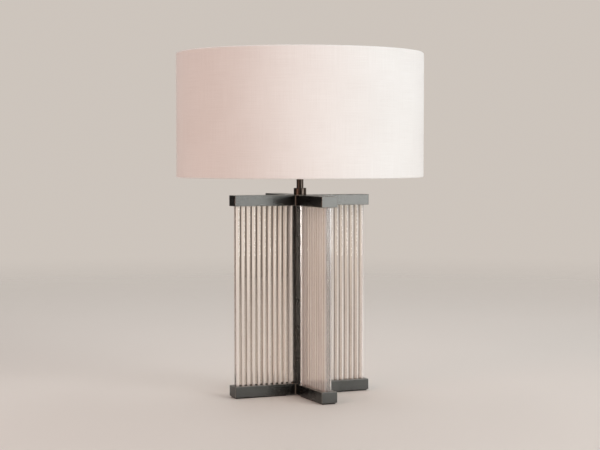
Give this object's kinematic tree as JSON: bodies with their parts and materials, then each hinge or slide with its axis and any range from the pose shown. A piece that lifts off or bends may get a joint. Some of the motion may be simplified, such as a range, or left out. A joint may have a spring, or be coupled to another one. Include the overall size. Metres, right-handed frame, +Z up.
{
  "type": "table lamp",
  "caption": "Table lamp: two lapped metal crosses hold a square post and upright fluted glass panels, under a wide drum shade on a harp with a socket, bulb, turn switch and finial.",
  "frame": {"origin": "on the surface that the lamp stands on, under the axis of the centre post", "axes": "+Z up along the post, +Y to the back, where the cord leaves the end of the back arm, +X to the right arm; the switch knob points to the front, along -Y"},
  "size_m": [0.508, 0.508, 0.703],
  "materials": {
    "satin_gunmetal": "satin, dark nickel plate",
    "braze_bronze": "satin",
    "dark_bronze": "satin oil-rubbed bronze",
    "zinc_steel": "zinc plated",
    "black_felt": "matt felt",
    "black_bushing": "matt",
    "fluted_glass": "clear, polished",
    "cork": "cork",
    "harp_brass": "satin antique brass",
    "socket_brass": "satin",
    "socket_card": "matt",
    "black_resin": "satin moulded resin",
    "switch_steel": "bright",
    "bulb_glass": "frosted",
    "bulb_metal": "satin",
    "bulb_black_glass": "black glass",
    "solder": "satin",
    "oatmeal_linen": "plain woven linen, matt",
    "shade_backing_sheet": "matt white",
    "shade_wire": "white powder coat"
  },
  "bodies": {
    "stand": {"base_bar_front_back": "satin_gunmetal", "base_bar_left_right": "satin_gunmetal", "base_braze_fillets": "braze_bronze", "base_cover_plate": "satin_gunmetal", "base_cover_screws": "zinc_steel", "centre_post": "dark_bronze", "cord_bushing": "black_bushing", "felt_pad_back": "black_felt", "felt_pad_front": "black_felt", "felt_pad_left": "black_felt", "felt_pad_right": "black_felt", "glass_cushions_lower": "cork", "glass_cushions_upper": "cork", "glass_panel_back": "fluted_glass", "glass_panel_front": "fluted_glass", "glass_panel_left": "fluted_glass", "glass_panel_right": "fluted_glass", "harp_loop": "harp_brass", "harp_saddle": "harp_brass", "harp_top_boss": "harp_brass", "lower_lock_nut": "zinc_steel", "lower_washer": "zinc_steel", "neck_collar": "dark_bronze", "neck_tube": "dark_bronze", "post_locator_lower": "zinc_steel", "post_locator_upper": "zinc_steel", "socket_cap": "socket_brass", "socket_contact": "socket_brass", "socket_core": "black_resin", "socket_liner": "socket_card", "socket_screw_shell": "socket_brass", "socket_shell": "socket_brass", "socket_terminals": "zinc_steel", "threaded_pipe": "zinc_steel", "top_bar_front_back": "satin_gunmetal", "top_bar_left_right": "satin_gunmetal", "top_braze_fillets": "braze_bronze", "top_lock_nut": "zinc_steel", "top_washer": "zinc_steel"},
    "switch": {"switch_shaft": "switch_steel", "switch_knob": "black_resin"},
    "shade": {"shade_cover": "oatmeal_linen", "shade_backing": "shade_backing_sheet", "shade_top_ring": "shade_wire", "shade_bottom_ring": "shade_wire", "shade_spider": "shade_wire", "harp_stud": "harp_brass"},
    "finial": {"finial": "harp_brass"},
    "ferrule_left": {"harp_ferrule_left": "harp_brass"},
    "ferrule_right": {"harp_ferrule_right": "harp_brass"},
    "bulb": {"bulb_envelope": "bulb_glass", "bulb_cap": "bulb_metal", "bulb_insulator": "bulb_black_glass", "bulb_contact": "solder"}
  },
  "joints": [
    {"name": "switch_turn", "type": "hinge", "parent": "stand", "child": "switch", "pos_m": [0, -0.017, 0.47835], "axis": [0, -1, 0], "continuous": true},
    {"name": "shade_turn", "type": "hinge", "parent": "stand", "child": "shade", "pos_m": [0, 0, 0.676], "axis": [0, 0, 1], "continuous": true},
    {"name": "finial_turn", "type": "hinge", "parent": "shade", "child": "finial", "pos_m": [0, 0, 0.678], "axis": [0, 0, 1], "continuous": true},
    {"name": "ferrule_left_slide", "type": "slide", "parent": "stand", "child": "ferrule_left", "axis": [0, 0, 1], "range_m": [0, 0.0185]},
    {"name": "ferrule_right_slide", "type": "slide", "parent": "stand", "child": "ferrule_right", "axis": [0, 0, 1], "range_m": [0, 0.0185]},
    {"name": "bulb_lift", "type": "slide", "parent": "stand", "child": "bulb", "axis": [0, 0, 1], "range_m": [0, 0.028]}
  ]
}
